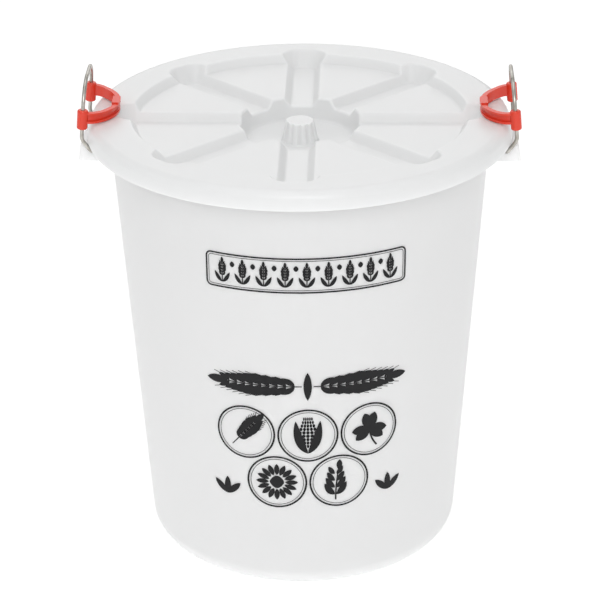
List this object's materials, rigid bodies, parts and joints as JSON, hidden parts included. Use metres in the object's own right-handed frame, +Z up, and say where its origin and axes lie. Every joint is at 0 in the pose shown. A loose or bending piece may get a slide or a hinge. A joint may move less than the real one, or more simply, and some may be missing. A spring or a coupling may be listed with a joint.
{
  "type": "livestock feed tub",
  "caption": "Round tapered plastic feed tub with a lift-off grooved lid, held down by side wire bails that carry red swing-over latches.",
  "frame": {"origin": "on the floor, under the middle of the tub", "axes": "+Z up out of the tub, X through the two bails, -Y towards the print"},
  "size_m": [0.4552, 0.4402, 0.5196],
  "materials": {
    "white_plastic": "translucent white moulded polyethylene, satin",
    "steel_wire": "zinc-plated drawn wire",
    "red_plastic": "glossy red moulding"
  },
  "bodies": {
    "tub": {"tub": "white_plastic"},
    "lid": {"lid": "white_plastic"},
    "left_bail": {"bail_left": "steel_wire", "latch_left": "red_plastic"},
    "right_bail": {"bail_right": "steel_wire", "latch_right": "red_plastic"}
  },
  "joints": [
    {"name": "lid_lift", "type": "slide", "parent": "tub", "child": "lid", "axis": [0, 0, 1], "range_m": [0, 0.0375]},
    {"name": "left_bail_swing", "type": "hinge", "parent": "tub", "child": "left_bail", "pos_m": [-0.2126, 0, 0.4446], "axis": [0, -1, 0], "range_deg": [0, 166]},
    {"name": "right_bail_swing", "type": "hinge", "parent": "tub", "child": "right_bail", "pos_m": [0.2126, 0, 0.4446], "axis": [0, 1, 0], "range_deg": [0, 166]}
  ],
  "couplings": [
    {"joint": "left_bail_swing", "follows": "lid_lift", "rad_per_m": 77.2},
    {"joint": "right_bail_swing", "follows": "lid_lift", "rad_per_m": 77.2}
  ]
}
